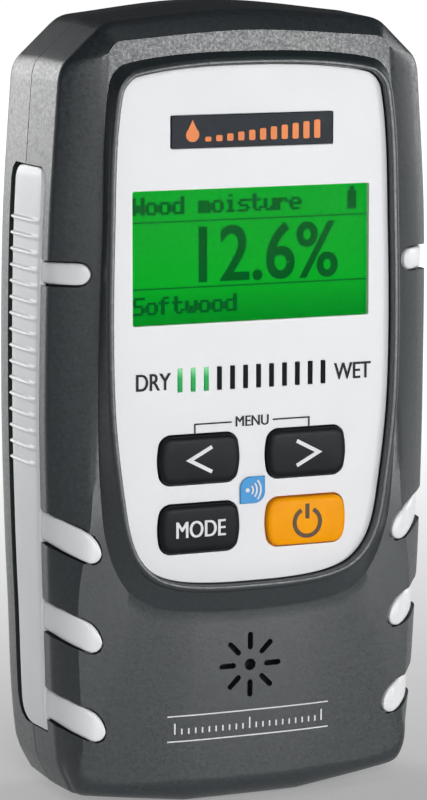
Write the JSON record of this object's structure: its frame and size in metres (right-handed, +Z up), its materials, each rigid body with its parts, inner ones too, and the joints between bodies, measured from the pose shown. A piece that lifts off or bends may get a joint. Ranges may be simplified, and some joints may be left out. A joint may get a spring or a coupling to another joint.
{
  "type": "moisture meter",
  "caption": "Handheld building moisture meter with a two-part dark housing, white side grips, backlit display, bar indicator, four keys and sensor pads on the back.",
  "frame": {"origin": "middle of the bottom of the meter's bounding box, standing upright", "axes": "+Z up the length of the meter, -Y out of the front with the display, +X to the viewer's right"},
  "size_m": [0.0818, 0.0378, 0.1546],
  "materials": {
    "housing": "fine moulded grain",
    "grip": "smooth soft-touch, slight gloss",
    "panel": "satin film",
    "diffuser": "milky",
    "key_black": "satin",
    "key_orange": "satin",
    "silicone": "matte",
    "sensor_rubber": "matte",
    "lens": "clear, polished",
    "display": "backlit",
    "bar_lit": "lit",
    "bar_dark": "unlit",
    "plate": "satin print",
    "badge": "printed film",
    "circuit_board": "solder mask",
    "screw_steel": "zinc plated",
    "stud_metal": "nickel plated",
    "battery_can": "printed wrap",
    "inner_plastic": "plain moulded"
  },
  "bodies": {
    "housing": {"backlight_diffuser": "diffuser", "battery": "battery_can", "battery_clip": "inner_plastic", "battery_stud_large": "stud_metal", "battery_stud_small": "stud_metal", "board_connector": "inner_plastic", "buzzer": "inner_plastic", "buzzer_gauze": "inner_plastic", "case_screw_bottom_left": "screw_steel", "case_screw_bottom_right": "screw_steel", "case_screw_top_left": "screw_steel", "case_screw_top_right": "screw_steel", "connection_badge": "badge", "display_lens": "lens", "front_panel": "panel", "front_shell": "housing", "keypad_mat": "silicone", "lcd_contact_strip": "silicone", "lcd_frame": "inner_plastic", "lcd_glass": "display", "led_bar_01": "bar_lit", "led_bar_02": "bar_lit", "led_bar_03": "bar_lit", "led_bar_04": "bar_dark", "led_bar_05": "bar_dark", "led_bar_06": "bar_dark", "led_bar_07": "bar_dark", "led_bar_08": "bar_dark", "led_bar_09": "bar_dark", "led_bar_10": "bar_dark", "led_bar_11": "bar_dark", "led_bar_12": "bar_dark", "left_grip": "grip", "main_board": "circuit_board", "name_plate": "plate", "rear_shell": "housing", "right_grip": "grip", "sensor_board": "circuit_board", "sensor_pad_lower": "sensor_rubber", "sensor_pad_upper": "sensor_rubber"},
    "key_back": {"key_back": "key_black"},
    "key_forward": {"key_forward": "key_black"},
    "key_mode": {"key_mode": "key_black"},
    "key_power": {"key_power": "key_orange"},
    "battery_door": {"battery_door": "housing"}
  },
  "joints": [
    {"name": "key_back_press", "type": "slide", "parent": "housing", "child": "key_back", "axis": [0, 1, 0], "range_m": [0, 0.0008], "stiffness_N_per_m": 1200},
    {"name": "key_forward_press", "type": "slide", "parent": "housing", "child": "key_forward", "axis": [0, 1, 0], "range_m": [0, 0.0008], "stiffness_N_per_m": 1200},
    {"name": "key_mode_press", "type": "slide", "parent": "housing", "child": "key_mode", "axis": [0, 1, 0], "range_m": [0, 0.0008], "stiffness_N_per_m": 1200},
    {"name": "key_power_press", "type": "slide", "parent": "housing", "child": "key_power", "axis": [0, 1, 0], "range_m": [0, 0.0008], "stiffness_N_per_m": 1200},
    {"name": "battery_door_lift", "type": "slide", "parent": "housing", "child": "battery_door", "axis": [0, 1, 0], "range_m": [0, 0.012]}
  ]
}
